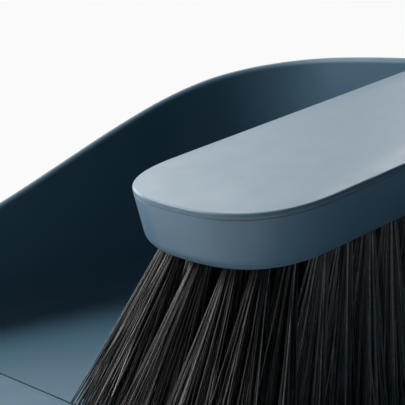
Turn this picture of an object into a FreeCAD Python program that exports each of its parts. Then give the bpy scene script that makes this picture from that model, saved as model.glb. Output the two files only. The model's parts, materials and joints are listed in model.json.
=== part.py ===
"""Dustpan with a brush stored in it. Millimetres, X across, lip at -Y, handles at +Y, +Z up.

The origin is at the bottom centre of the whole set's box. The pan is modelled with y = 0 at the front of
its lip, the brush in its own axes (x across, u along towards the grip, v up, origin at the centre of the
head's rounded end in the top plane), and everything is moved to the origin at the end.
"""
import FreeCAD, Part
import math
import os

V = FreeCAD.Vector

# ---- driving dimensions: brush ----
HEAD_HALF = 27.5            # half width of the brush head
GRIP_HALF = 17.0            # half width of the brush grip
ROUND_POWER = 2.6           # superellipse power of both rounded ends
HEAD_END = 92.0             # where the head starts to narrow, from the centre of its rounded end
GRIP_START = 142.0          # where the grip has its full narrowness
GRIP_END = 232.0            # centre of the grip's rounded end
BRUSH_TILT = 7.69           # degrees that the stored brush rises towards its grip
COVER_EDGE = 1.4            # height of the top cover's visible edge
COVER_ROUND = 0.8
BLOCK_BOTTOM = -15.2
BLOCK_DRAFT = 8.0           # degrees that the block's sides lean in
BLOCK_ROUND = 4.0
BLOCK_WALL = 2.6
RECESS_DEPTH = 2.8          # shallow recess under the cover, over the whole block
GRIP_CORE_START = 112.0     # the grip is cored out from here
RIB_DEPTH = 1.8
RIB_WALL = 1.2
RIB_GAP = 0.1
END_POINTS = 24             # spans of each rounded end's curve

# ---- driving dimensions: tufts ----
HOLE_RADIUS = 2.25
TUFT_RADIUS = 2.2
TUFT_TIP_RADIUS = 3.4
TUFT_LENGTH = 46.0
TUFT_STRAIGHT = 1.8         # below the hole's mouth, before the tuft opens out
TUFT_PITCH = 8.2
HOLE_DEPTH = 8.5
OUTER_ROW = 19.4            # distance of the outer row from the brush's axis
INNER_ROW = 9.7
SIDE_TUFTS = 11             # along each side of the outer row, and along the centre
INNER_SIDE_TUFTS = 10
FRONT_TUFTS = 7             # round the head's front, outer row
INNER_FRONT_TUFTS = 4
FORWARD_FAN = 22.0          # degrees of forward lean at u = 0
FAN_LENGTH = 48.0           # the lean fades by 1/e over this length
SIDE_FAN = 4.0              # degrees of outward lean along the sides
TIP_SIDE_FAN = 9.0          # further outward lean round the front
ANCHOR = (5.4, 0.4, 2.0)    # flat wire: length, thickness, width
ANCHOR_DEPTH = 7.4          # from the hole's mouth to the wire's far edge

# ---- driving dimensions: pan ----
FLOOR = 2.5
WALL = 2.5
PAN_HALF = 104.5            # inner half width at the floor
LEAN = 0.12                 # outward lean of the walls, per unit of height
PAN_BACK = 151.0            # inner back wall at the floor, from the lip's front
CORNER = 34.0               # inner corner radius at the floor
FLOOR_ROUND = 10.0
CUTTER_TOP = 125.0
LIP_LINE = 20.4             # rear edge of the lip
LIP_HALF = 94.0
LIP_HEIGHT = 3.3
LIP_FRONT_HEIGHT = 1.0
LIP_GROOVE = 0.4
LIP_CORNER = 5.0
LIP_ROUND = 0.7
TONGUE = (7.0, 0.8, 1.8)    # reach into the lip, lowest and highest point
NOSE = 3.5                  # front of the side walls
RIM_SIDE = [(3.0, 2.0), (3.6, 16.0), (8.0, 20.5), (24.0, 25.7), (58.0, 35.6), (100.0, 51.7),
            (128.0, 60.1), (152.0, 67.9), (185.0, 67.9)]    # control points (y, z) of the rim's side view
TIP_Y = 51.0                # centre of the brush head's rounded end
TIP_Z = 63.0                # its top plane there
CROWN_HALF = 110.0          # the back rim rises inside this half width
CROWN_RISE = 9.9
RIM_REACH = 130.0           # half width of the surface that trims the rim
TROUGH_GAP = 1.4            # clearance beside the brush in its trough
TROUGH_WALL = 2.5
TROUGH_SIDE = [(90.0, -0.3), (108.0, -0.3), (126.0, -0.3), (140.0, -5.5), (160.0, -5.5),
               (300.0, -5.5)]   # control points (u, v) of the trough's side view, in brush axes
TROUGH_ROUND = 5.0
JUNCTION_ROUND = 6.0        # where the trough leaves the back wall
HANG_RADIUS = 5.5           # hole in the pan's handle
BRUSH_HANG_RADIUS = 6.5     # hole in the brush's grip
HANG_U = 232.0
TRIM_HEIGHT = 4.2           # lowest that any tuft reaches above the ground
TONGUE_SHORT = 4.0          # the tongue stops this far inside the lip's ends

# ---- tools ----
PAST = 40.0                 # how far a cutting tool reaches past what it cuts
SPAN = 400.0                # wider and longer than the whole set
NEAR = 1e-3


def wire(edges):
    return Part.Wire(edges)


def round_end(half, centre, sense, v):
    """Superellipse end from one side to the other, bulging to smaller u for sense -1."""
    points = []
    for i in range(END_POINTS + 1):
        angle = math.pi * i / END_POINTS
        c, s = math.cos(angle), math.sin(angle)
        x = -sense * math.copysign(half * abs(c) ** (2 / ROUND_POWER), c)
        points.append(V(x, centre + sense * half * max(s, 0.0) ** (2 / ROUND_POWER), v))
    curve = Part.BSplineCurve()
    curve.interpolate(Points=points, InitialTangent=V(0, sense, 0), FinalTangent=V(0, -sense, 0))
    return curve.toShape()


def neck(half_head, half_grip, side, v):
    middle = (HEAD_END + GRIP_START) / 2
    curve = Part.BezierCurve()
    curve.setPoles([V(side * half_head, HEAD_END, v), V(side * half_head, middle, v),
                    V(side * half_grip, middle, v), V(side * half_grip, GRIP_START, v)])
    return curve.toShape()


def brush_outline(inset, v):
    """Plan outline of the brush, moved in by inset, at height v."""
    head, grip = HEAD_HALF - inset, GRIP_HALF - inset
    return wire([
        round_end(head, 0, -1, v),
        Part.makeLine(V(-head, 0, v), V(-head, HEAD_END, v)),
        neck(head, grip, -1, v),
        Part.makeLine(V(-grip, GRIP_START, v), V(-grip, GRIP_END, v)),
        round_end(grip, GRIP_END, 1, v),
        Part.makeLine(V(grip, GRIP_END, v), V(grip, GRIP_START, v)),
        neck(head, grip, 1, v),
        Part.makeLine(V(head, HEAD_END, v), V(head, 0, v)),
    ])


def drafted(low, high, grow=0.0, radius=0.0):
    """Solid with the block's drafted sides between two heights, grown sideways, its bottom edge rounded."""
    draft = math.tan(math.radians(BLOCK_DRAFT))
    wires = [brush_outline((-COVER_EDGE - v) * draft - grow, v) for v in (low, high)]
    solid = Part.makeLoft(wires, True, True)
    if radius > 0:
        solid = solid.makeFillet(radius, edges_at(solid, lambda e: flat_at(e, low)))
    return solid


def place(shape):
    """From the brush's axes to the pan's."""
    moved = shape.copy()
    moved.rotate(V(0, 0, 0), V(1, 0, 0), BRUSH_TILT)
    moved.translate(V(0, TIP_Y, TIP_Z))
    return moved


def edges_at(shape, test):
    return [e for e in shape.Edges if test(e)]


def flat_at(edge, v):
    return all(abs(edge.valueAt(p).z - v) < NEAR for p in edge.ParameterRange)


def hang_cylinder(radius):
    return Part.makeCylinder(radius, 2 * PAST, V(0, HANG_U, -PAST))


# ---- tufts ----
def lean_of(x, u):
    """Direction in which the tuft rooted at (x, u) points."""
    forward = math.radians(FORWARD_FAN * math.exp(-u / FAN_LENGTH))
    front = min(max(-u / OUTER_ROW, 0.0), 1.0)
    side = math.radians((SIDE_FAN + TIP_SIDE_FAN * front) * x / OUTER_ROW)
    return V(math.tan(side), -math.tan(forward), -1).normalize()


def arc_roots(half, angles):
    roots = []
    for angle in angles:
        c, s = math.cos(angle), math.sin(angle)
        roots.append((math.copysign(half * abs(c) ** (2 / ROUND_POWER), c), -half * s ** (2 / ROUND_POWER)))
    return roots


def tuft_rows():
    """Roots of every tuft, by row."""
    outer = [k * TUFT_PITCH for k in range(SIDE_TUFTS)]
    inner = [(k + 0.5) * TUFT_PITCH for k in range(INNER_SIDE_TUFTS)]
    front = [math.pi * (k + 1) / (FRONT_TUFTS + 1) for k in range(FRONT_TUFTS)]
    inner_front = [math.pi * (k + 0.5) / INNER_FRONT_TUFTS for k in range(INNER_FRONT_TUFTS)]
    return {
        "front_outer": arc_roots(OUTER_ROW, front),
        "left_outer": [(-OUTER_ROW, u) for u in outer],
        "right_outer": [(OUTER_ROW, u) for u in outer],
        "front_inner": arc_roots(INNER_ROW, inner_front),
        "left_inner": [(-INNER_ROW, u) for u in inner],
        "right_inner": [(INNER_ROW, u) for u in inner],
        "centre": [(0.0, u) for u in outer],
    }


def along_lean(shape, x, u):
    """Moves a shape built round the Z axis, mouth at z = 0 and bristles down, to a root."""
    moved = shape.copy()
    turn = FreeCAD.Rotation(V(0, 0, -1), lean_of(x, u))
    moved.Placement = FreeCAD.Placement(V(x, u, BLOCK_BOTTOM), turn)
    return moved


def hole_tool():
    mouth = 3.0
    return Part.makeCylinder(HOLE_RADIUS, HOLE_DEPTH + mouth, V(0, 0, -mouth))


def anchor_shape():
    length, thick, width = ANCHOR
    return Part.makeBox(length, thick, width, V(-length / 2, -thick / 2, ANCHOR_DEPTH - width))


def tuft_shape():
    profile = Part.makePolygon([
        V(0, 0, HOLE_DEPTH), V(TUFT_RADIUS, 0, HOLE_DEPTH), V(TUFT_RADIUS, 0, -TUFT_STRAIGHT),
        V(TUFT_TIP_RADIUS, 0, -TUFT_LENGTH), V(0, 0, -TUFT_LENGTH), V(0, 0, HOLE_DEPTH)])
    return Part.Face(profile).revolve(V(0, 0, 0), V(0, 0, 1), 360)


def trimmed(tuft):
    """Cuts a tuft level, just above the lip."""
    below = Part.makeBox(SPAN, SPAN, PAST, V(-SPAN / 2, -SPAN / 2, TRIM_HEIGHT - PAST))
    return tuft.cut(below)


def tuft_row(roots):
    tuft = tuft_shape().cut(anchor_shape())
    return Part.makeCompound([trimmed(place(along_lean(tuft, x, u))).Solids[0] for x, u in roots])


def anchor_row(roots):
    return Part.makeCompound([place(along_lean(anchor_shape(), x, u)) for x, u in roots])


# ---- brush ----
def brush_block(rows):
    block = drafted(BLOCK_BOTTOM, -COVER_EDGE, 0.0, BLOCK_ROUND)
    block = block.cut(drafted(-COVER_EDGE - RECESS_DEPTH, 0.0, -BLOCK_WALL))
    core = drafted(BLOCK_BOTTOM + BLOCK_WALL, 0.0, -BLOCK_WALL)
    core = core.common(Part.makeBox(SPAN, SPAN, 2 * PAST, V(-SPAN / 2, GRIP_CORE_START, -PAST)))
    core = core.cut(hang_cylinder(BRUSH_HANG_RADIUS + BLOCK_WALL))
    block = block.cut(core)
    tools = [hang_cylinder(BRUSH_HANG_RADIUS)]
    for roots in rows.values():
        tools += [along_lean(hole_tool(), x, u) for x, u in roots]
        tools += [along_lean(anchor_shape(), x, u) for x, u in roots]
    return place(block.cut(tools))


def brush_top_cover():
    plate = Part.Face(brush_outline(0, -COVER_EDGE)).extrude(V(0, 0, COVER_EDGE))
    plate = plate.makeFillet(COVER_ROUND, edges_at(plate, lambda e: flat_at(e, 0)))
    rib = drafted(-COVER_EDGE - RIB_DEPTH, -COVER_EDGE, -BLOCK_WALL - RIB_GAP)
    rib = rib.cut(drafted(-COVER_EDGE - 2 * RIB_DEPTH, 0.0, -BLOCK_WALL - RIB_GAP - RIB_WALL))
    rib = rib.cut(hang_cylinder(BRUSH_HANG_RADIUS + BLOCK_WALL + RIB_GAP))
    cover = plate.fuse(rib)
    return place(cover.cut(hang_cylinder(BRUSH_HANG_RADIUS)).removeSplitter())


# ---- pan ----
def pan_outline(grow, z, front):
    """U-shaped plan outline, at height z, of a wall face that stands grow outside the inner face."""
    out = grow + LEAN * (z - FLOOR)
    half, back, radius = PAN_HALF + out, PAN_BACK + out, CORNER + out
    middle = radius * math.sqrt(0.5)
    left, right, inner_y = -half + radius, half - radius, back - radius
    return wire([
        Part.makeLine(V(-half, front, z), V(-half, inner_y, z)),
        Part.Arc(V(-half, inner_y, z), V(left - middle, inner_y + middle, z), V(left, back, z)).toShape(),
        Part.makeLine(V(left, back, z), V(right, back, z)),
        Part.Arc(V(right, back, z), V(right + middle, inner_y + middle, z), V(half, inner_y, z)).toShape(),
        Part.makeLine(V(half, inner_y, z), V(half, front, z)),
        Part.makeLine(V(half, front, z), V(-half, front, z)),
    ])


def pan_body(grow, low, radius, front):
    """Solid inside a wall face, its bottom edge rounded everywhere but at the front."""
    body = Part.makeLoft([pan_outline(grow, z, front) for z in (low, CUTTER_TOP)], True, True)
    bottom = edges_at(body, lambda e: flat_at(e, low) and e.CenterOfMass.y > front + NEAR)
    return body.makeFillet(radius, bottom)


def rim_cutter():
    """Everything above the rim: a side profile along y, with the back's crown added across x."""
    drop = CROWN_RISE * (RIM_REACH / CROWN_HALF) ** 2
    crown = [(-RIM_REACH, CROWN_RISE - drop), (0.0, CROWN_RISE + drop), (RIM_REACH, CROWN_RISE - drop)]
    poles = [[V(x, y, z + dz) for y, z in RIM_SIDE] for x, dz in crown]
    spans = len(RIM_SIDE) - 3
    surface = Part.BSplineSurface()
    surface.buildFromPolesMultsKnots(poles, [3, 3], [4] + [1] * (spans - 1) + [4], [0, 1],
                                     list(range(spans + 1)), False, False, 2, 3)
    return surface.toShape().extrude(V(0, 0, SPAN))


def trough_cutter():
    """Everything above the trough's sides, which leave the back wall's rim and drop along the handle."""
    curve = Part.BSplineCurve()
    spans = len(TROUGH_SIDE) - 3
    curve.buildFromPolesMultsKnots([V(-SPAN / 2, u, v) for u, v in TROUGH_SIDE],
                                   [4] + [1] * (spans - 1) + [4], list(range(spans + 1)), False, 3)
    return curve.toShape().extrude(V(SPAN, 0, 0)).extrude(V(0, 0, PAST))


def trough(inside):
    outer = drafted(BLOCK_BOTTOM - TROUGH_WALL, COVER_EDGE, TROUGH_GAP + TROUGH_WALL, TROUGH_ROUND)
    return place(outer.cut(trough_cutter())).cut(inside)


def tongue_box(reach):
    """The pan's tongue, reaching this far into the lip."""
    _, low, high = TONGUE
    half = LIP_HALF - TONGUE_SHORT
    return Part.makeBox(2 * half, reach, high - low, V(-half, LIP_LINE - reach, low))


def lip_seat():
    """What is taken from the floor's front for the lip, with the tongue left standing."""
    reach, low, high = TONGUE
    seat = Part.makeBox(2 * LIP_HALF, LIP_LINE + PAST, 2 * PAST, V(-LIP_HALF, -PAST, -PAST))
    over = Part.makeBox(2 * LIP_HALF, reach + LIP_GROOVE, PAST, V(-LIP_HALF, LIP_LINE - reach, high))
    seat = seat.fuse(over)
    tongue = tongue_box(reach)
    return seat.cut(tongue)


def meets_back_wall(edge):
    """True for the edges where the trough's outside leaves the outside of the back wall."""
    touch = 10 * NEAR
    middle = edge.CenterOfMass
    ends = [edge.valueAt(p) for p in edge.ParameterRange]
    off = max(abs(PAN_BACK + WALL + LEAN * (p.z - FLOOR) - p.y) for p in ends + [middle])
    beside = HEAD_HALF + TROUGH_GAP + TROUGH_WALL
    return off < touch and abs(middle.x) < beside and middle.z < TIP_Z + CROWN_RISE and middle.z > TIP_Z / 2


def pan_shell():
    inside = pan_body(0.0, FLOOR, FLOOR_ROUND, NOSE - 2)
    outer = pan_body(WALL, 0.0, FLOOR_ROUND + WALL, NOSE)
    pan = outer.cut(inside).cut(rim_cutter())
    pan = pan.fuse(trough(inside))
    pan = pan.cut(place(drafted(BLOCK_BOTTOM, PAST, TROUGH_GAP, BLOCK_ROUND)))
    pan = pan.cut(lip_seat())
    pan = pan.cut(place(hang_cylinder(HANG_RADIUS))).removeSplitter()
    return pan.makeFillet(JUNCTION_ROUND, edges_at(pan, meets_back_wall))


def front_lip():
    side = Part.makePolygon([V(-LIP_HALF, 0, 0), V(-LIP_HALF, 0, LIP_FRONT_HEIGHT),
                             V(-LIP_HALF, LIP_LINE, LIP_HEIGHT), V(-LIP_HALF, LIP_LINE, 0),
                             V(-LIP_HALF, 0, 0)])
    lip = Part.Face(side).extrude(V(2 * LIP_HALF, 0, 0))
    upright = LIP_FRONT_HEIGHT / 2
    corners = edges_at(lip, lambda e: abs(e.CenterOfMass.y) < NEAR and e.BoundBox.ZLength > upright)
    lip = lip.makeFillet(LIP_CORNER, corners)
    rear = edges_at(lip, lambda e: e.BoundBox.ZMin > LIP_HEIGHT - NEAR)
    lip = lip.makeFillet(LIP_ROUND, rear)
    return lip.cut(tongue_box(TONGUE[0]))


def all_parts():
    rows = tuft_rows()
    parts = {
        "pan_shell": pan_shell(),
        "front_lip": front_lip(),
        "brush_block": brush_block(rows),
        "brush_top_cover": brush_top_cover(),
    }
    for name, roots in rows.items():
        parts["tufts_" + name] = tuft_row(roots)
        parts["anchors_" + name] = anchor_row(roots)
    return parts


def main():
    parts = all_parts()
    length = parts["pan_shell"].optimalBoundingBox(False, False).YMax
    os.makedirs("parts", exist_ok=True)
    for name, shape in parts.items():
        shape.translate(V(0, -length / 2, 0))
        shape.exportStep("parts/" + name + ".step")
        print(name, len(shape.Solids), "solids, valid", shape.isValid(), round(shape.Volume, 1), "mm3")
    print("length", round(length, 3))


main()
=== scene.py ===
# Looks of a dustpan with its brush stored in it. Shapes are worked out in millimetres, in the pan's axes
# (y = 0 at the lip's front) or the brush's axes (x across, u along towards the grip, v up), and every
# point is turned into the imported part's frame, in metres, when a mesh is made.
import json
import math

import bmesh
import bpy
import numpy as np
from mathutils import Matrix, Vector

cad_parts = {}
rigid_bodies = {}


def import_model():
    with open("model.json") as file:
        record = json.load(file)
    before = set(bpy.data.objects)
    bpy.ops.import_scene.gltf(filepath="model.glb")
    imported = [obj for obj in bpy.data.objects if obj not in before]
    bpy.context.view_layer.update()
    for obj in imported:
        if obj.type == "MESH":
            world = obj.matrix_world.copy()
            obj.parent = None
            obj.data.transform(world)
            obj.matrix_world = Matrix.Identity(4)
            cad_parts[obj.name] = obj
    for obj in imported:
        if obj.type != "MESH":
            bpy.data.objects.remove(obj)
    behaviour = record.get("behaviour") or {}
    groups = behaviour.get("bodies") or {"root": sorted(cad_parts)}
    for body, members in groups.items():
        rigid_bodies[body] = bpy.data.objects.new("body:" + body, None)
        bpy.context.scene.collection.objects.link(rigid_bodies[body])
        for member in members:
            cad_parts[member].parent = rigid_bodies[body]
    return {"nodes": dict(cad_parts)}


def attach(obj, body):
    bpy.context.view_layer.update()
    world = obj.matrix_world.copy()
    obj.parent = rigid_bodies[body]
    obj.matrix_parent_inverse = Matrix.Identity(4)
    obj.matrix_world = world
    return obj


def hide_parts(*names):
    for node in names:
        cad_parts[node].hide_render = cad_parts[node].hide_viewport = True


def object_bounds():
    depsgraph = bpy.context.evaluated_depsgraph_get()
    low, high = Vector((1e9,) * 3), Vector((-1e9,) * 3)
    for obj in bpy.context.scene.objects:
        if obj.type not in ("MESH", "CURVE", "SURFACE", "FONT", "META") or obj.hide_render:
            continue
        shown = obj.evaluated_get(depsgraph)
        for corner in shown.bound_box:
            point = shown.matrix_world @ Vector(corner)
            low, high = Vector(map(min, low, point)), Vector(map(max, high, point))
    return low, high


MM = 0.001
SMOOTH_ANGLE = math.radians(35.0)  # sharper folds than this stay creases

# ---- brush: lengths in millimetres, u from the head's end towards the grip, v from the top down ----
HEAD_HALF = 27.5
GRIP_HALF = 17.0
ROUND_POWER = 2.6                # of the superellipse ends
HEAD_END = 92.0                  # u where the head starts to narrow
GRIP_START = 142.0               # u where the grip's sides are parallel
GRIP_END = 232.0                 # u of the grip's end arc, and of the hanging holes
BRUSH_TILT = math.radians(7.69)
COVER_EDGE = 1.4                 # thickness of the cover's edge
COVER_ROUND = 0.75
PARTING_ROUND = (0.11, 0.20)     # lower edge of the cover, upper edge of the block
CROWN = 0.50                     # the cover's middle stands this much above its edge
CROWN_EDGE = 8.0                 # width of the sloping margin along the sides
CROWN_TIP = 11.0                 # further width of the margin round the head's end
CAP_INSET = -10.0                # outset at which the flat faces of the plates are closed
BLOCK_BOTTOM = -15.2
DRAFT = math.tan(math.radians(8.0))
BLOCK_ROUND = 4.0
TIP_Y = 51.0                     # where the top of the head's end lies, in the pan's axes
TIP_Z = 63.0
BRUSH_HANG_RADIUS = 6.5
HANG_RADIUS = 5.5
HANG_ROUND = 0.7
HOLE_SIDES = 64

# ---- tufts ----
HOLE_RADIUS = 2.25
TUFT_LENGTH = 47.5
TUFT_PITCH = 8.2
OUTER_ROW = 19.4                 # distance of the rows from the brush's centre line
INNER_ROW = 9.7
SIDE_TUFTS = 11
INNER_SIDE_TUFTS = 10
FRONT_TUFTS = 7
INNER_FRONT_TUFTS = 4
FORWARD_FAN = 23.0               # degrees that the tufts lean forward at the head's end
FAN_LENGTH = 48.0                # over which that lean falls off
SIDE_FAN = 4.0                   # degrees that the outer rows lean outward
TIP_SIDE_FAN = 10.0              # more of it at the head's end
TRIM_HEIGHT = 4.2                # of the filaments' ends above the pan's underside

# ---- filaments ----
SEED = 471
FILAMENT_RADIUS = 0.18
FILAMENTS_OUTER = 120
FILAMENTS_INNER = 64
FILAMENT_SIDES = 4
FILAMENT_RINGS = 7
FILAMENT_START = -4.0            # inside the hole
TUFT_SPREAD = 7.0                # degrees at the edge of a tuft
FILAMENT_STRAY = 1.3             # degrees, one standard deviation
FILAMENT_CURL = 1.1              # sideways bow at the tip
FILAMENT_TIP = 0.72              # radius at the tip as a share of the rest
RADIUS_UNEVEN = (0.85, 1.15)
TRIM_UNEVEN = 0.35
LENGTH_UNEVEN = 0.7
FRONT_SHADE = 0.050              # typical brightness of a filament in the two rows round the head's end
SIDE_SHADE_PAINTED_LIGHT = 0.190               # and of one in the other rows, set lighter than the black nylon's own tone as painted light
SHADE_UNEVEN = 0.95
PALEST = 0.50

# ---- pan: x across, y from the lip's front to the back, z up ----
FLOOR = 2.5                      # thickness
WALL = 2.5
PAN_HALF = 104.5                 # from the centre to the foot of a side wall's inner face
LEAN = 0.12                      # how far the walls lean out, per unit of height
PAN_BACK = 151.0                 # y of the foot of the back wall's inner face
CORNER = 34.0                    # plan radius of the back corners
FLOOR_ROUND = 10.0
RIM_ROUND = 2.0                  # inner edge of the rim
RIM_OUTER_ROUND = 0.4
NOSE = 3.5                       # y of the side walls' front ends
BAND = 10.5                      # width of the wall's foot, inside the inner wall face
FLOOR_FRONT = 20.8               # y of the floor's front edge, behind the lip
RIM_SIDE = [(3.0, 2.0), (3.6, 16.0), (8.0, 20.5), (24.0, 25.7), (58.0, 35.6), (100.0, 51.7),
            (128.0, 60.1), (152.0, 67.9), (185.0, 67.9)]       # poles (y, z) of the rim's side view
CROWN_HALF = 110.0               # the rim also rises towards the middle, as a parabola of this half width
CROWN_RISE = 9.9                 # and this height
TROUGH_GAP = 1.4                 # between the brush and the trough's sides
TROUGH_WALL = 2.5
TROUGH_SIDE = [(90.0, -0.3), (108.0, -0.3), (126.0, -0.3), (140.0, -5.5), (160.0, -5.5),
               (300.0, -5.5)]    # poles (u, v) of the trough's rim
TROUGH_END_U = 252.0             # u at which the round end takes its section
TROUGH_ROUND = 5.0
TROUGH_RIM_ROUND = 1.0
TROUGH_INSET = -8.0              # outset at which the trough's flat faces are closed
TROUGH_RECESS = 0.12             # the trough starts this far behind the back wall's inner face
TROUGH_EASE = 4                  # stations over which its slanted start fades into square sections
NOTCH_ROUND = 4.5
NOTCH_STATIONS = (80.0, HEAD_END, 97.0, 102.0, 107.0, 112.0, 118.0, 124.0)
NOTCH_TOP = 30.0
COLLAR = 6.0                     # radius where the trough leaves the back wall
COLLAR_U = 110.0
COLLAR_SINK = (0.02, 0.6)        # how deep its surface and its hidden edge lie in the walls
LIP_LINE = 20.05                 # y of the strip's rear edge
LIP_HALF = 94.0
LIP_HEIGHT = 2.3
LIP_BEAD = (0.5, 0.6)            # height and width of the bead along the strip's rear edge
LIP_FRONT_HEIGHT = 1.0
LIP_CORNER = 5.0
LIP_ROUND = 0.45
LIP_SEAM = 10.0                  # y where the section's closed outline starts, on the underside
TONGUE = (13.4, 24.0, 0.8, 1.8, 90.0)  # y front and rear, z low and high, half width

# ---- materials: noise scales per metre ----
MOTTLE = 22.0
GRAIN = 2600.0
GLOSS = 140.0
STREAK = 900.0
DRAWN = 1500.0
PAPER = 3.0

# ---- camera and light ----
CAMERA_FROM_TIP = Vector((0.23613, -0.24415, 0.07477))
CAMERA_FORWARD = Vector((-0.70134, 0.67277, -0.23558))
CAMERA_LENS = 128.9
SENSOR = 36.0
LIGHT_AIM = Vector((0.0, -0.05, 0.04))
LIGHT_DISTANCE = 1.6
LIGHTS = [                       # name, azimuth, elevation, (width, height) in metres, watts, colour
    ("key", 300, 42, (1.0, 0.6), 18.0, (1.0, 0.99, 0.98)),
    ("side", 272, 12, (0.9, 0.45), 9.0, (1.0, 1.0, 1.0)),
    ("back", 205, 34, (0.8, 0.5), 5.4, (0.98, 0.99, 1.0)),
    ("front", 318, 22, (0.6, 0.5), 1.4, (1.0, 1.0, 1.0)),
    ("overhead", 300, 75, (1.2, 1.2), 2.1, (1.0, 1.0, 1.0)),
]
FLOOR_SIZE = 4.0
FLOOR_STEPS = 8
FLOOR_DROP = 0.0002              # the paper lies this far below the pan
SWEEP = (0.16, 0.30)             # metres from the middle over which the floor turns into backdrop
BACKDROP = 0.955                 # brightness of the walls and of the far floor, to the camera
WALL_GLOWS = [                   # azimuth, elevation, widest and narrowest angle, strength
    (218, 22, 48, 14, 0.12),
    (246, 31, 26, 6, 3.10),
]


# ---------------------------------------------------------------- geometry helpers
def clamped_spline(poles, samples):
    """Points of a clamped uniform cubic B-spline."""
    poles = np.array(poles, float)
    spans = len(poles) - 3
    knots = np.array([0] * 3 + list(range(spans + 1)) + [spans] * 3, float)
    t = np.linspace(0, spans * (1 - 1e-9), samples)
    basis = [((t >= a) & (t < b)).astype(float) for a, b in zip(knots[:-1], knots[1:])]
    for degree in range(1, 4):
        raised = []
        for i in range(len(basis) - 1):
            low, high = knots[i + degree] - knots[i], knots[i + degree + 1] - knots[i + 1]
            left = (t - knots[i]) / low * basis[i] if low > 0 else 0 * t
            right = (knots[i + degree + 1] - t) / high * basis[i + 1] if high > 0 else 0 * t
            raised.append(left + right)
        basis = raised
    return np.array(basis).T @ poles


RIM_CURVE = clamped_spline(RIM_SIDE, 800)
TROUGH_CURVE = clamped_spline(TROUGH_SIDE, 400)


def rim_height(x, y):
    """Height of the pan's rim over a plan point."""
    return np.interp(y, RIM_CURVE[:, 0], RIM_CURVE[:, 1]) + CROWN_RISE * (1 - (x / CROWN_HALF) ** 2)


def rounded(corners):
    """Polyline through corners (a, b, radius, steps), each inner corner rounded by an arc of its radius."""
    points = [np.array(c[:2], float) for c in corners]
    line = [points[0]]
    for before, corner, after, (_, _, radius, steps) in zip(points, points[1:], points[2:], corners[1:]):
        u = (before - corner) / np.linalg.norm(before - corner)
        v = (after - corner) / np.linalg.norm(after - corner)
        theta = math.acos(max(-1.0, min(1.0, float(u @ v))))
        bisector = (u + v) / np.linalg.norm(u + v)
        across = (v - u) / np.linalg.norm(v - u)
        centre = corner + bisector * radius / math.sin(theta / 2)
        half = (math.pi - theta) / 2
        for k in range(steps + 1):
            phi = half * (2 * k / steps - 1)
            line.append(centre - bisector * radius * math.cos(phi) + across * radius * math.sin(phi))
    line.append(points[-1])
    return np.array(line)


def from_pan(points):
    """Pan axes, millimetres, to the part's frame, metres."""
    return np.asarray(points, float) * MM + np.array([0, FRONT_Y, 0])


def from_brush(points):
    """Brush axes, millimetres, to pan axes, millimetres."""
    p = np.asarray(points, float)
    c, s = math.cos(BRUSH_TILT), math.sin(BRUSH_TILT)
    x, u, v = p[..., 0], p[..., 1], p[..., 2]
    return np.stack([x, TIP_Y + u * c - v * s, TIP_Z + u * s + v * c], -1)


class Shell:
    """Points and faces of one closed skin, in pan axes."""

    def __init__(self):
        self.points = []
        self.faces = []

    def grid(self, rows, closed=False):
        """Adds rows of points joined by quads and returns their numbers."""
        rows = np.asarray(rows, float)
        start = len(self.points)
        self.points.extend(rows.reshape(-1, 3).tolist())
        numbers = np.arange(start, start + rows.shape[0] * rows.shape[1]).reshape(rows.shape[:2])
        following = np.roll(numbers, -1, 0) if closed else numbers[1:]
        for a, b in zip(numbers if closed else numbers[:-1], following):
            for j in range(len(a) - 1):
                self.faces.append((a[j], a[j + 1], b[j + 1], b[j]))
        return numbers

    def face(self, numbers):
        self.faces.append(tuple(int(n) for n in numbers))

    def bridge(self, numbers):
        """Joins the last column of a grid to its first and closes its two ends."""
        for a, b in zip(numbers[:-1], numbers[1:]):
            self.face([a[-1], a[0], b[0], b[-1]])
        self.face(numbers[0])
        self.face(numbers[-1])


def closed_tube(rows):
    """Closed skin of rows that run round, with a flat face over the first column and over the last."""
    shell = Shell()
    numbers = shell.grid(rows, closed=True)
    shell.face(numbers[:, 0])
    shell.face(numbers[:, -1])
    return shell


def smooth(mesh):
    mesh.shade_smooth()
    mesh.set_sharp_from_angle(angle=SMOOTH_ANGLE)


def add_object(name, data):
    obj = bpy.data.objects.new(name, data)
    bpy.context.scene.collection.objects.link(obj)
    return obj


def make_object(name, *shells):
    """One mesh object of closed skins, with outward normals and creases where the shape turns sharply."""
    bm = bmesh.new()
    for shell in shells:
        vertices = [bm.verts.new(p) for p in from_pan(shell.points)]
        for numbers in shell.faces:
            bm.faces.new([vertices[n] for n in numbers])
    bmesh.ops.recalc_face_normals(bm, faces=bm.faces)
    mesh = bpy.data.meshes.new(name)
    bm.to_mesh(mesh)
    bm.free()
    smooth(mesh)
    return add_object(name, mesh)


def cut(obj, tool):
    """Takes the tool's solid out of obj and removes the tool."""
    modifier = obj.modifiers.new("cut", "BOOLEAN")
    modifier.operation = "DIFFERENCE"
    modifier.solver = "EXACT"
    modifier.object = tool
    evaluated = obj.evaluated_get(bpy.context.evaluated_depsgraph_get())
    mesh = bpy.data.meshes.new_from_object(evaluated)
    obj.modifiers.clear()
    obj.data = mesh
    smooth(mesh)
    bpy.data.objects.remove(tool)
    return obj


# ---------------------------------------------------------------- brush outline
def half_width(u):
    """Half width of the brush between its rounded ends, at u."""
    t = np.linspace(0, 1, 200)
    middle = (HEAD_END + GRIP_START) / 2
    along = HEAD_END * (1 - t) ** 3 + 3 * middle * (t * (1 - t) ** 2 + t * t * (1 - t)) + GRIP_START * t ** 3
    blend = 3 * t * t * (1 - t) + t ** 3
    return HEAD_HALF + (GRIP_HALF - HEAD_HALF) * np.interp(u, along, blend)


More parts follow.
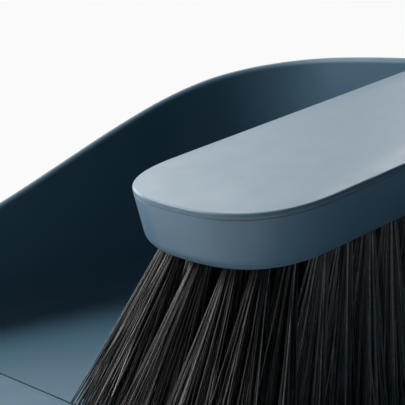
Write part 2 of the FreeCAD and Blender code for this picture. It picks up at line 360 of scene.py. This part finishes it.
def side_stations(start):
    """Values of u along a side, closer together through the neck."""
    neck = np.linspace(HEAD_END, GRIP_START, 33)
    head = np.linspace(start, HEAD_END, 8)[:-1] if start < HEAD_END else []
    grip = np.linspace(GRIP_START, GRIP_END, 9)[1:]
    return np.concatenate([head, neck[neck > start] if start >= HEAD_END else neck, grip])


def round_end(half, centre, sense, steps):
    """Superellipse end from x = -half to x = half, bulging along sense."""
    angles = np.pi * np.arange(1, steps) / steps
    c, s = np.cos(angles), np.sin(angles)
    x = -np.sign(c) * half * np.abs(c) ** (2 / ROUND_POWER)
    return np.stack([x, centre + sense * half * s ** (2 / ROUND_POWER)], -1)


def closed_outline(outset, shift=0.0):
    """Plan outline (x, u) of the brush moved out by outset, its head end moved along by shift."""
    u = side_stations(0.0)
    width = half_width(u) + outset
    u = np.maximum(u, shift * (1 - u / HEAD_END))
    left = np.stack([-width, u], -1)
    right = np.stack([width, u], -1)[::-1]
    grip_end = round_end(GRIP_HALF + outset, GRIP_END, 1, 40)
    head_end = round_end(HEAD_HALF + outset, shift, -1, 56)[::-1]
    return np.concatenate([left, grip_end, right, head_end])


def moulded_plate(corners, crown=()):
    """Closed skin whose edge has the profile of corners (outset, v, radius, steps), bottom to top.
    crown adds rings (outset, v, shift) to its top."""
    profile = [(d, v, 0.0) for d, v in rounded(corners)[:-1 if crown else None]] + list(crown)
    outlines = [(closed_outline(d, shift), v) for d, v, shift in profile]
    rings = [np.column_stack([outline, np.full(len(outline), v)]) for outline, v in outlines]
    rows = from_brush(np.stack(rings, 1))
    return closed_tube(rows)


def hanging_hole(radius, low, high):
    """Cutter for the hole at the grip's end, its mouths rounded at heights low and high of the brush."""
    angles = np.linspace(0, math.pi / 2, 7)
    upper = [(radius + HANG_ROUND * (1 - math.cos(a)), high - HANG_ROUND * (1 - math.sin(a)))
             for a in angles]
    lower = [(r, low + high - v) for r, v in upper][::-1]
    reach = 6.0
    profile = [(lower[0][0], low - reach)] + lower + upper + [(upper[-1][0], high + reach)]
    around = 2 * math.pi * np.arange(HOLE_SIDES) / HOLE_SIDES
    rows = [[(r * math.cos(a), GRIP_END + r * math.sin(a), v) for r, v in profile] for a in around]
    return make_object("tool", closed_tube(from_brush(rows)))


def brush_body():
    """Drafted block, from its rounded foot to the groove below the cover."""
    foot = (COVER_EDGE + BLOCK_BOTTOM) * DRAFT
    shell = moulded_plate([(CAP_INSET, BLOCK_BOTTOM, 0, 0), (foot, BLOCK_BOTTOM, BLOCK_ROUND, 10),
                           (0.0, -COVER_EDGE, PARTING_ROUND[1], 5), (CAP_INSET, -COVER_EDGE, 0, 0)])
    past_top = 8.0
    return cut(make_object("brush_body", shell), hanging_hole(BRUSH_HANG_RADIUS, BLOCK_BOTTOM, past_top))


def brush_plate():
    """Crowned cover."""
    crown = []
    for t in np.linspace(0, 1, 11)[1:]:
        crown.append((-COVER_ROUND - CROWN_EDGE * t, CROWN * (1 - (1 - t) ** 2), CROWN_TIP * t))
    shell = moulded_plate([(CAP_INSET, -COVER_EDGE, 0, 0), (0.0, -COVER_EDGE, PARTING_ROUND[0], 4),
                           (0.0, 0.0, COVER_ROUND, 8), (CAP_INSET, 0.0, 0, 0)], crown)
    past_bottom = -20.0
    return cut(make_object("brush_plate", shell), hanging_hole(BRUSH_HANG_RADIUS, past_bottom, CROWN))


# ---------------------------------------------------------------- pan
def wall_stations():
    """Plan points of the inner wall's foot, with outward normals, from the left nose round the back."""
    keep = RIM_CURVE[(RIM_CURVE[:, 0] >= NOSE) & (RIM_CURVE[:, 0] <= PAN_BACK - CORNER)]
    run = np.concatenate([[0], np.cumsum(np.linalg.norm(np.diff(keep, axis=0), axis=1))])
    sides = np.interp(np.linspace(0, run[-1], 72), run, keep[:, 0])
    sides[0] = NOSE
    sides[-1] = PAN_BACK - CORNER
    sides = np.sort(np.append(sides, FLOOR_FRONT))
    left = [((-PAN_HALF, y), (-1.0, 0.0)) for y in sides]
    turn = []
    for angle in np.linspace(0, math.pi / 2, 25)[1:]:
        n = (-math.cos(angle), math.sin(angle))
        turn.append(((CORNER - PAN_HALF + CORNER * n[0], PAN_BACK - CORNER + CORNER * n[1]), n))
    flat = np.linspace(CORNER - PAN_HALF, 0, 21)[1:]
    half = left + turn + [((x, PAN_BACK), (0.0, 1.0)) for x in flat]
    mirrored = [((-p[0], p[1]), (-n[0], n[1])) for p, n in half[:-1]][::-1]
    return half + mirrored


def wall_profile(point, normal):
    """Section (outset, z) of the pan at a station, from the floor's top over the rim to its underside."""
    height = 40.0                # first guess: the rim's height depends on how far out the wall leans
    for _ in range(12):
        middle = WALL / 2 + LEAN * (height - FLOOR)
        height = float(rim_height(point[0] + middle * normal[0], point[1] + middle * normal[1]))
    inner_round = min(FLOOR_ROUND, 0.8 * (height - FLOOR - RIM_ROUND))
    outer_round = min(FLOOR_ROUND + WALL, 0.8 * (height - RIM_OUTER_ROUND))
    top = LEAN * (height - FLOOR)
    return rounded([(-BAND, FLOOR, 0, 0), (0.0, FLOOR, inner_round, 14), (top, height, RIM_ROUND, 9),
                    (WALL + top, height, RIM_OUTER_ROUND, 5), (WALL - LEAN * FLOOR, 0.0, outer_round, 14),
                    (-BAND, 0.0, 0, 0)])


def wall_and_floor():
    """The pan without its handle: the wall's section swept round, with the floor inside it."""
    stations = wall_stations()
    rows = []
    for point, normal in stations:
        rows.append([(point[0] + d * normal[0], point[1] + d * normal[1], z)
                     for d, z in wall_profile(point, normal)])
    shell = Shell()
    numbers = shell.grid(rows)
    front = [i for i, (p, _) in enumerate(stations) if p[1] <= FLOOR_FRONT + 1e-6 and p[0] < 0][-1]
    back = len(stations) - 1 - front
    shell.face(numbers[front:back + 1, 0])
    shell.face(numbers[front:back + 1, -1])
    shell.face([numbers[front, 0], numbers[back, 0], numbers[back, -1], numbers[front, -1]])
    for i in range(front):
        j = len(stations) - 1 - i
        shell.face([numbers[i, 0], numbers[i + 1, 0], numbers[i + 1, -1], numbers[i, -1]])
        shell.face([numbers[j, 0], numbers[j - 1, 0], numbers[j - 1, -1], numbers[j, -1]])
    shell.face(numbers[0])
    shell.face(numbers[-1])
    return shell


def u_on_wall(v, outset):
    """u where a line along the brush at height v meets the back wall's face that stands outset out."""
    c, s = math.cos(BRUSH_TILT), math.sin(BRUSH_TILT)
    reach = PAN_BACK + outset - TIP_Y + LEAN * (TIP_Z + v * c - FLOOR) + v * s
    return reach / (c - LEAN * s)


def trough_line():
    """Sections of the trough along one side, round its end and back along the other."""
    u_first = float(u_on_wall(0.0, 0.0))
    along = side_stations(u_first)
    along = np.concatenate([[u_first], along[along > u_first + 3.0]])
    rows = []
    for side in (-1, 1):
        side_rows = []
        for i, u in enumerate(along):
            row = []
            for d, v in trough_profile(u):
                shift = float(u_on_wall(v, 0.0)) + TROUGH_RECESS - u_first
                shift *= max(0.0, 1 - i / TROUGH_EASE)
                row.append((side * (float(half_width(u + shift)) + d), u + shift, v))
            side_rows.append(row)
        rows.append(side_rows)
    profile = trough_profile(TROUGH_END_U)
    arcs = [round_end(GRIP_HALF + d, GRIP_END, 1, 40) for d, _ in profile]
    turn = [[(x, u, v) for (x, u), (_, v) in zip(ends, profile)] for ends in zip(*arcs)]
    return rows[0] + turn + rows[1][::-1]


def trough_profile(u):
    """Section (outset, v) of the trough, from its floor over the rim to its underside."""
    rim = float(np.interp(u, TROUGH_CURVE[:, 0], TROUGH_CURVE[:, 1]))
    inside = TROUGH_GAP
    outside = TROUGH_GAP + TROUGH_WALL
    under = BLOCK_BOTTOM - TROUGH_WALL
    return rounded([(TROUGH_INSET, BLOCK_BOTTOM, 0, 0),
                    (inside + (COVER_EDGE + BLOCK_BOTTOM) * DRAFT, BLOCK_BOTTOM, BLOCK_ROUND, 8),
                    (inside + (COVER_EDGE + rim) * DRAFT, rim, TROUGH_RIM_ROUND, 7),
                    (outside + (COVER_EDGE + rim) * DRAFT, rim, TROUGH_RIM_ROUND, 7),
                    (outside + (COVER_EDGE + under) * DRAFT, under, TROUGH_ROUND, 10),
                    (TROUGH_INSET, under, 0, 0)])


def trough():
    """The handle: a channel round the brush that starts just behind the inner face of the back wall."""
    shell = Shell()
    numbers = shell.grid(from_brush(trough_line()))
    shell.face(numbers[:, 0])
    shell.face(numbers[:, -1])
    shell.face(np.concatenate([numbers[0], numbers[-1][::-1]]))
    return shell


def notch_tool():
    """Cutter for the back wall, inside the trough's own walls."""
    grow = TROUGH_GAP + TROUGH_WALL / 2
    low = BLOCK_BOTTOM - TROUGH_WALL / 2
    half = rounded([(0.0, low, 0, 0), (grow + (COVER_EDGE + low) * DRAFT, low, NOTCH_ROUND, 8),
                    (grow + (COVER_EDGE + NOTCH_TOP) * DRAFT, NOTCH_TOP, 0, 0)])[1:]
    rows = []
    for u in NOTCH_STATIONS:
        width = float(half_width(u))
        right = [(width + d, u, v) for d, v in half]
        rows.append([(-x, u, v) for x, _, v in right[::-1]] + right)
    shell = Shell()
    shell.bridge(shell.grid(from_brush(rows)))
    return make_object("tool", shell)


def collar():
    """Concave round where the trough leaves the outside of the back wall."""
    rim = float(np.interp(COLLAR_U, TROUGH_CURVE[:, 0], TROUGH_CURVE[:, 1])) - TROUGH_RIM_ROUND
    outside = TROUGH_GAP + TROUGH_WALL
    under = BLOCK_BOTTOM - TROUGH_WALL
    half = rounded([(outside + (COVER_EDGE + rim) * DRAFT, rim, 0, 0),
                    (outside + (COVER_EDGE + under) * DRAFT, under, TROUGH_ROUND, 12),
                    (-half_width(COLLAR_U), under, 0, 0)])
    down = np.linspace(half[0], half[1], 9)[:-1]
    across = np.linspace(half[-2], half[-1], 12)[1:]
    half = np.concatenate([down, half[1:-1], across])
    section = [(-1, d, v) for d, v in half] + [(1, d, v) for d, v in half[::-1][1:]]
    up = np.array([0, LEAN, 1]) / math.hypot(LEAN, 1)

    def on_trough(side, d, v, further):
        u = float(u_on_wall(v, WALL)) + further
        return from_brush((side * (float(half_width(u)) + d), u, v))

    foot = np.array([on_trough(side, d, v, 0.0) for side, d, v in section])
    flat = np.stack([foot[:, 0], foot @ up], -1)
    tangent = np.gradient(flat, axis=0)
    tangent /= np.linalg.norm(tangent, axis=1)[:, None]
    outward = tangent[:, 1:2] * np.array([[1.0, 0, 0]]) - tangent[:, 0:1] * up[None, :]
    if outward[0][0] > 0:
        outward = -outward
    rows = []
    for i, (side, d, v) in enumerate(section):
        row = []
        for phi in np.linspace(0, math.pi / 2, 11):
            base = on_trough(side, d, v, COLLAR * (1 - math.sin(phi)))
            row.append(base + outward[i] * (COLLAR * (1 - math.cos(phi)) - COLLAR_SINK[0]))
        row.append(on_trough(side, d, v, -COLLAR_SINK[1]) - outward[i] * COLLAR_SINK[1])
        rows.append(row)
    shell = Shell()
    shell.bridge(shell.grid(rows))
    return shell


def tongue():
    """Step on the floor's front edge that the lip is moulded over."""
    front, rear, low, high, half = TONGUE
    section = rounded([((front + rear) / 2, low, 0, 0), (front, low, 0.2, 2), (front, high, 0.2, 2),
                       (rear, high, 0.2, 2), (rear, low, 0.2, 2), ((front + rear) / 2, low, 0, 0)])[:-1]
    return closed_tube([[(x, y, z) for x in (-half, half)] for y, z in section])


def pan_body():
    """The pan's moulding: scoop, handle, collar and tongue, as closed skins that run into each other."""
    body = cut(make_object("pan_body", wall_and_floor()), notch_tool())
    handle = make_object("tool_handle", trough())
    handle = cut(handle, hanging_hole(HANG_RADIUS, BLOCK_BOTTOM - TROUGH_WALL, BLOCK_BOTTOM))
    extra = make_object("tool_extra", collar(), tongue())
    bm = bmesh.new()
    for obj in (body, handle, extra):
        bm.from_mesh(obj.data)
    mesh = bpy.data.meshes.new("pan_body")
    bm.to_mesh(mesh)
    bm.free()
    smooth(mesh)
    body.data = mesh
    bpy.data.objects.remove(handle)
    bpy.data.objects.remove(extra)
    return body


def lip_strip():
    """Soft strip along the front: a wedge with rounded corners and a bead along its rear edge."""
    ends = LIP_HALF - LIP_CORNER * np.cos(np.linspace(0, math.pi / 2, 9))
    inner = np.linspace(-LIP_HALF + LIP_CORNER, LIP_HALF - LIP_CORNER, 41)[1:-1]
    across = np.concatenate([-(ends[::-1]), inner, ends])
    rows = []
    for x in across:
        past = max(0.0, abs(x) - (LIP_HALF - LIP_CORNER))
        front = LIP_CORNER - math.sqrt(max(0.0, LIP_CORNER ** 2 - past ** 2))
        height = LIP_FRONT_HEIGHT + (LIP_HEIGHT - LIP_FRONT_HEIGHT) * front / LIP_LINE
        section = rounded([(LIP_SEAM, 0.0, 0, 0), (front, 0.0, 0.25, 3), (front, height, 0.35, 5),
                           (LIP_LINE - LIP_BEAD[1] - LIP_BEAD[0], LIP_HEIGHT, 0.2, 4),
                           (LIP_LINE - LIP_BEAD[1], LIP_HEIGHT + LIP_BEAD[0], 0.25, 5),
                           (LIP_LINE, LIP_HEIGHT + LIP_BEAD[0], LIP_ROUND, 7),
                           (LIP_LINE, 0.0, 0.2, 2), (LIP_SEAM, 0.0, 0, 0)])
        rows.append([(x, y, z) for y, z in section[:-1]])
    return make_object("lip_strip", closed_tube(np.array(rows).transpose(1, 0, 2)))


# ---------------------------------------------------------------- filaments
def lean_of(x, u):
    """Direction of a tuft, in brush axes: more forward and more outward near the head's end."""
    forward = math.radians(FORWARD_FAN * math.exp(-u / FAN_LENGTH))
    front = min(max(-u / OUTER_ROW, 0.0), 1.0)
    side = math.radians((SIDE_FAN + TIP_SIDE_FAN * front) * x / OUTER_ROW)
    lean = np.array([math.tan(side), -math.tan(forward), -1.0])
    return lean / np.linalg.norm(lean)


def arc_roots(half, angles):
    """Points (x, u) of a superellipse arc round the head's end."""
    roots = []
    for angle in angles:
        c, s = math.cos(angle), math.sin(angle)
        roots.append((math.copysign(half * abs(c) ** (2 / ROUND_POWER), c), -half * s ** (2 / ROUND_POWER)))
    return roots


def tuft_rows():
    """Where each row's tufts stand, as points (x, u)."""
    outer = [k * TUFT_PITCH for k in range(SIDE_TUFTS)]
    inner = [(k + 0.5) * TUFT_PITCH for k in range(INNER_SIDE_TUFTS)]
    front = [math.pi * (k + 1) / (FRONT_TUFTS + 1) for k in range(FRONT_TUFTS)]
    inner_front = [math.pi * (k + 0.5) / INNER_FRONT_TUFTS for k in range(INNER_FRONT_TUFTS)]
    return {
        "front_outer": arc_roots(OUTER_ROW, front),
        "left_outer": [(-OUTER_ROW, u) for u in outer],
        "right_outer": [(OUTER_ROW, u) for u in outer],
        "front_inner": arc_roots(INNER_ROW, inner_front),
        "left_inner": [(-INNER_ROW, u) for u in inner],
        "right_inner": [(INNER_ROW, u) for u in inner],
        "centre": [(0.0, u) for u in outer],
    }


def filament_lines(root, count, rng):
    """Centre lines (filament, ring, 3) of one tuft's filaments, in brush axes."""
    x, u = root
    lean = lean_of(x, u)
    across = np.cross(lean, [0.0, 1.0, 0.0])
    across /= np.linalg.norm(across)
    other = np.cross(lean, across)
    angle = rng.uniform(0, 2 * np.pi, count)
    reach = np.sqrt(rng.uniform(0, 1, count))
    radial = np.cos(angle)[:, None] * across + np.sin(angle)[:, None] * other
    mouth = np.array([x, u, BLOCK_BOTTOM]) + radial * (reach * (HOLE_RADIUS - FILAMENT_RADIUS))[:, None]
    stray = rng.normal(0, math.radians(FILAMENT_STRAY), (count, 2))
    spread = reach * math.tan(math.radians(TUFT_SPREAD))
    heading = lean + radial * spread[:, None] + stray[:, :1] * across + stray[:, 1:] * other
    heading /= np.linalg.norm(heading, axis=1)[:, None]
    bow = rng.normal(0, FILAMENT_CURL, (count, 2))
    length = TUFT_LENGTH + rng.normal(0, LENGTH_UNEVEN, count)
    s, c = math.sin(BRUSH_TILT), math.cos(BRUSH_TILT)
    mouth_height = TIP_Z + mouth[:, 1] * s + mouth[:, 2] * c
    fall = -(heading[:, 1] * s + heading[:, 2] * c)
    trim = TRIM_HEIGHT + np.abs(rng.normal(0, TRIM_UNEVEN, count))
    length = np.minimum(length, (mouth_height - trim) / fall)
    share = np.linspace(0, 1, FILAMENT_RINGS)
    along = FILAMENT_START + (length[:, None] - FILAMENT_START) * share
    out = np.clip(along / TUFT_LENGTH, 0, 1) ** 2
    sideways = bow[:, :1, None] * across + bow[:, 1:, None] * other
    return mouth[:, None, :] + along[..., None] * heading[:, None, :] + out[..., None] * sideways


def bristles(name, roots, count, shade, rng):
    """One mesh of every filament of a row of tufts, each a closed tube."""
    lines = np.concatenate([filament_lines(root, count, rng) for root in roots])
    total, rings = lines.shape[:2]
    direction = lines[:, -1] - lines[:, 0]
    direction /= np.linalg.norm(direction, axis=1)[:, None]
    side = np.cross(direction, [1.0, 0.0, 0.0])
    side /= np.linalg.norm(side, axis=1)[:, None]
    other = np.cross(direction, side)
    roll = rng.uniform(0, 2 * np.pi, total)
    angles = roll[:, None] + 2 * np.pi * np.arange(FILAMENT_SIDES) / FILAMENT_SIDES
    circle = np.cos(angles)[..., None] * side[:, None] + np.sin(angles)[..., None] * other[:, None]
    radius = FILAMENT_RADIUS * rng.uniform(*RADIUS_UNEVEN, total)
    taper = np.ones(rings)
    taper[-1] = FILAMENT_TIP
    scale = radius[:, None] * taper
    points = lines[:, :, None, :] + scale[..., None, None] * circle[:, None]
    vertices = from_pan(from_brush(points.reshape(-1, 3)))
    base = (np.arange(total) * rings * FILAMENT_SIDES)[:, None, None]
    ring = (np.arange(rings - 1) * FILAMENT_SIDES)[None, :, None]
    k = np.arange(FILAMENT_SIDES)[None, None, :]
    following = (k + 1) % FILAMENT_SIDES
    quads = np.stack([base + ring + k, base + ring + following,
                      base + ring + FILAMENT_SIDES + following, base + ring + FILAMENT_SIDES + k], -1)
    first = base[:, 0] + np.arange(FILAMENT_SIDES)[::-1]
    last = base[:, 0] + (rings - 1) * FILAMENT_SIDES + np.arange(FILAMENT_SIDES)
    faces = np.concatenate([quads.reshape(-1, 4), first, last])
    mesh = bpy.data.meshes.new(name)
    mesh.from_pydata(vertices.tolist(), [], faces.tolist())
    mesh.shade_smooth()
    # each filament's brightness varies at random about its row's level; in all rows but the two round the
    # head's end that level carries painted light
    shades = np.minimum(shade * np.exp(rng.normal(0, SHADE_UNEVEN, total)), PALEST)
    shades = np.repeat(shades, rings * FILAMENT_SIDES).astype(np.float32)
    mesh.attributes.new("shade", "FLOAT", "POINT").data.foreach_set("value", shades)
    return add_object(name, mesh)


# ---------------------------------------------------------------- materials
def new_material(name):
    """A material with its node tree and its Principled shader."""
    material = bpy.data.materials.new(name)
    material.use_nodes = True
    tree = material.node_tree
    return material, tree, tree.nodes["Principled BSDF"]


def object_point(tree):
    return tree.nodes.new("ShaderNodeTexCoord").outputs["Object"]


def noise(tree, scale, detail, vector):
    node = tree.nodes.new("ShaderNodeTexNoise")
    node.inputs["Scale"].default_value = scale
    node.inputs["Detail"].default_value = detail
    tree.links.new(vector, node.inputs["Vector"])
    return node.outputs["Fac"]


def ramp(tree, factor, low, high):
    """Colour from low to high over the middle of a noise's range."""
    node = tree.nodes.new("ShaderNodeValToRGB")
    node.color_ramp.elements[0].position = 0.3
    node.color_ramp.elements[1].position = 0.7
    node.color_ramp.elements[0].color = (*low, 1)
    node.color_ramp.elements[1].color = (*high, 1)
    tree.links.new(factor, node.inputs["Fac"])
    return node.outputs["Color"]


def map_range(tree, factor, low, high):
    """Value from low to high over the middle of a noise's range."""
    node = tree.nodes.new("ShaderNodeMapRange")
    node.inputs["From Min"].default_value = 0.25
    node.inputs["From Max"].default_value = 0.75
    node.inputs["To Min"].default_value = low
    node.inputs["To Max"].default_value = high
    tree.links.new(factor, node.inputs["Value"])
    return node.outputs["Result"]


def bump(tree, height, distance, strength, normal=None):
    node = tree.nodes.new("ShaderNodeBump")
    node.inputs["Distance"].default_value = distance
    node.inputs["Strength"].default_value = strength
    tree.links.new(height, node.inputs["Height"])
    if normal is not None:
        tree.links.new(normal, node.inputs["Normal"])
    return node.outputs["Normal"]


def moulded_plastic(name, low, high, roughness, grain, sheen_level):
    """Satin moulded plastic: faint flow mottling, fine spark-eroded grain, slightly uneven gloss."""
    material, tree, shader = new_material(name)
    where = object_point(tree)
    mottle = noise(tree, MOTTLE, 3.0, where)
    fine = noise(tree, GRAIN, 2.0, where)
    gloss = noise(tree, GLOSS, 4.0, where)
    tree.links.new(ramp(tree, mottle, low, high), shader.inputs["Base Color"])
    tree.links.new(map_range(tree, gloss, *roughness), shader.inputs["Roughness"])
    soft = bump(tree, mottle, 0.0006, 0.25)
    tree.links.new(bump(tree, fine, 0.00003, grain, soft), shader.inputs["Normal"])
    shader.inputs["IOR"].default_value = 1.49
    shader.inputs["Specular IOR Level"].default_value = sheen_level
    return material


def nylon():
    """Dyed black nylon filament: each one a little lighter or darker at random, with streaks along it; in
    all rows but the two round the head's end its brightness is lightened by painted light.
    """
    material, tree, shader = new_material("bristle_nylon")
    shade = tree.nodes.new("ShaderNodeAttribute")
    shade.attribute_name = "shade"
    streak = noise(tree, STREAK, 2.0, object_point(tree))
    dye_and_painted_light = tree.nodes.new("ShaderNodeMath")
    dye_and_painted_light.operation = "MULTIPLY"
    tree.links.new(shade.outputs["Fac"], dye_and_painted_light.inputs[0])
    tree.links.new(map_range(tree, streak, 0.7, 1.3), dye_and_painted_light.inputs[1])
    tree.links.new(dye_and_painted_light.outputs[0], shader.inputs["Base Color"])
    tree.links.new(map_range(tree, streak, 0.34, 0.50), shader.inputs["Roughness"])
    shader.inputs["IOR"].default_value = 1.53
    return material


def wire_steel():
    """Drawn flat wire."""
    material, tree, shader = new_material("anchor_steel")
    drawn = noise(tree, DRAWN, 3.0, object_point(tree))
    tree.links.new(ramp(tree, drawn, (0.42, 0.42, 0.43), (0.60, 0.60, 0.61)), shader.inputs["Base Color"])
    tree.links.new(map_range(tree, drawn, 0.25, 0.42), shader.inputs["Roughness"])
    shader.inputs["Metallic"].default_value = 1.0
    return material


def paper():
    """Pale paper sweep that turns, away from the object, into an even backdrop for the camera."""
    material, tree, shader = new_material("floor_paper")
    where = object_point(tree)
    tree.links.new(ramp(tree, noise(tree, PAPER, 2.0, where), (0.90, 0.90, 0.90), (0.92, 0.92, 0.92)),
                   shader.inputs["Base Color"])
    shader.inputs["Roughness"].default_value = 0.9
    shader.inputs["Specular IOR Level"].default_value = 0.1
    length = tree.nodes.new("ShaderNodeVectorMath")
    length.operation = "LENGTH"
    tree.links.new(where, length.inputs[0])
    far = tree.nodes.new("ShaderNodeMapRange")
    far.interpolation_type = "SMOOTHSTEP"
    far.inputs["From Min"].default_value = SWEEP[0]
    far.inputs["From Max"].default_value = SWEEP[1]
    tree.links.new(length.outputs["Value"], far.inputs["Value"])
    share = tree.nodes.new("ShaderNodeMath")
    share.operation = "MULTIPLY"
    tree.links.new(far.outputs["Result"], share.inputs[0])
    tree.links.new(tree.nodes.new("ShaderNodeLightPath").outputs["Is Camera Ray"], share.inputs[1])
    even = tree.nodes.new("ShaderNodeEmission")
    even.inputs["Strength"].default_value = BACKDROP
    mix = tree.nodes.new("ShaderNodeMixShader")
    tree.links.new(share.outputs[0], mix.inputs["Fac"])
    tree.links.new(shader.outputs["BSDF"], mix.inputs[1])
    tree.links.new(even.outputs["Emission"], mix.inputs[2])
    tree.links.new(mix.outputs["Shader"], tree.nodes["Material Output"].inputs["Surface"])
    return material


def paint(obj, material):
    obj.data.materials.clear()
    obj.data.materials.append(material)


def dress(obj, material, body, node):
    """Gives a piece its material and body, in place of the CAD node that it stands for, which it hides."""
    paint(obj, material)
    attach(obj, body)
    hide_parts(node)


# ---------------------------------------------------------------- stage
def make_floor():
    mesh = bpy.data.meshes.new("floor")
    bm = bmesh.new()
    bmesh.ops.create_grid(bm, x_segments=FLOOR_STEPS, y_segments=FLOOR_STEPS, size=FLOOR_SIZE)
    bm.to_mesh(mesh)
    bm.free()
    floor = add_object("floor", mesh)
    floor.location = (0, 0, -FLOOR_DROP)
    mesh.materials.append(paper())


def toward(azimuth, elevation):
    """Unit vector at an azimuth, measured from the front towards the right, and an elevation, in degrees."""
    a, e = math.radians(azimuth), math.radians(elevation)
    return Vector((math.sin(a) * math.cos(e), -math.cos(a) * math.cos(e), math.sin(e)))


def softbox(name, azimuth, elevation, size, watts, colour):
    """A rectangular light of size (width, height) that faces the object from LIGHT_DISTANCE away."""
    data = bpy.data.lights.new(name, "AREA")
    data.shape = "RECTANGLE"
    data.size, data.size_y = size
    data.energy = watts
    data.color = colour
    light = add_object(name, data)
    direction = toward(azimuth, elevation)
    light.location = LIGHT_AIM + direction * LIGHT_DISTANCE
    light.rotation_mode = "QUATERNION"
    light.rotation_quaternion = (-direction).to_track_quat("-Z", "Y")


def glow(tree, where, direction, widest, narrowest, strength):
    """Brightness of a soft round patch of wall: full up to narrowest degrees from direction, none past
    widest."""
    dot = tree.nodes.new("ShaderNodeVectorMath")
    dot.operation = "DOT_PRODUCT"
    dot.inputs[1].default_value = direction
    tree.links.new(where, dot.inputs[0])
    fade = tree.nodes.new("ShaderNodeMapRange")
    fade.interpolation_type = "SMOOTHSTEP"
    fade.inputs["From Min"].default_value = math.cos(math.radians(widest))
    fade.inputs["From Max"].default_value = math.cos(math.radians(narrowest))
    fade.inputs["To Min"].default_value = 0.0
    fade.inputs["To Max"].default_value = strength
    tree.links.new(dot.outputs["Value"], fade.inputs["Value"])
    return fade.outputs["Result"]


def make_world():
    """Studio walls: dark, with soft pale patches beyond the object on the left, and pale to the camera."""
    world = bpy.data.worlds.new("studio")
    bpy.context.scene.world = world
    world.use_nodes = True
    tree = world.node_tree
    background = tree.nodes["Background"]
    background.inputs["Color"].default_value = (1.0, 1.0, 1.0, 1.0)
    where = tree.nodes.new("ShaderNodeTexCoord").outputs["Generated"]
    total = None
    for azimuth, elevation, widest, narrowest, strength in WALL_GLOWS:
        patch = glow(tree, where, toward(azimuth, elevation), widest, narrowest, strength)
        if total is not None:
            add = tree.nodes.new("ShaderNodeMath")
            add.operation = "ADD"
            tree.links.new(total, add.inputs[0])
            tree.links.new(patch, add.inputs[1])
            patch = add.outputs[0]
        total = patch
    seen = tree.nodes.new("ShaderNodeLightPath").outputs["Is Camera Ray"]
    pick = tree.nodes.new("ShaderNodeMix")
    tree.links.new(seen, pick.inputs["Factor"])
    tree.links.new(total, pick.inputs["A"])
    pick.inputs["B"].default_value = BACKDROP
    tree.links.new(pick.outputs["Result"], background.inputs["Strength"])


def make_camera(tip):
    data = bpy.data.cameras.new("camera")
    data.lens = CAMERA_LENS
    data.sensor_width = SENSOR
    data.clip_start = 0.01
    camera = add_object("camera", data)
    camera.location = tip + CAMERA_FROM_TIP
    camera.rotation_mode = "QUATERNION"
    camera.rotation_quaternion = CAMERA_FORWARD.to_track_quat("-Z", "Y")
    bpy.context.scene.camera = camera


# ---------------------------------------------------------------- build
for leftover in list(bpy.data.objects):
    bpy.data.objects.remove(leftover)
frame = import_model()
cad_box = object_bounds()
FRONT_Y = cad_box[0].y
tip = Vector((0, FRONT_Y + TIP_Y * MM, TIP_Z * MM))

make_camera(tip)
make_world()
make_floor()
for light in LIGHTS:
    softbox(*light)
bpy.context.scene.view_settings.view_transform = "Standard"

# The pan's plastic is set darker than the brush block's: partly the plastics' own tones, partly painted
# shade in the pan and painted light on the block. The cover is a little darker than the block, partly as
# painted shade on its brightly lit top.
pan_plastic = moulded_plastic("pan_plastic_satin", (0.066, 0.152, 0.224), (0.073, 0.165, 0.240),
                              (0.40, 0.50), 0.30, 0.30)
brush_plastic = moulded_plastic("brush_plastic_satin", (0.128, 0.232, 0.325), (0.138, 0.246, 0.342),
                                (0.30, 0.38), 0.30, 0.50)
cover_plastic = moulded_plastic("cover_plastic_satin", (0.124, 0.216, 0.298), (0.133, 0.229, 0.314),
                                (0.30, 0.38), 0.30, 0.50)
lip_rubber = moulded_plastic("lip_rubber_matt", (0.083, 0.180, 0.256), (0.092, 0.194, 0.272),
                             (0.50, 0.60), 0.45, 0.30)
steel = wire_steel()
black_nylon = nylon()

dress(pan_body(), pan_plastic, "pan", "pan_shell")
dress(lip_strip(), lip_rubber, "pan", "front_lip")
dress(brush_body(), brush_plastic, "brush", "brush_block")
dress(brush_plate(), cover_plastic, "brush", "brush_top_cover")
generator = np.random.default_rng(SEED)
for row, roots in tuft_rows().items():
    count = FILAMENTS_OUTER if row.endswith("outer") else FILAMENTS_INNER
    # rows other than the two round the head's end get a level lightened by painted light
    shade = FRONT_SHADE if row.startswith("front") else SIDE_SHADE_PAINTED_LIGHT
    tufts = bristles("bristles_" + row, roots, count, shade, generator)
    dress(tufts, black_nylon, "brush", "tufts_" + row)
for name, node in frame["nodes"].items():
    if name.startswith("anchors_"):
        paint(node, steel)
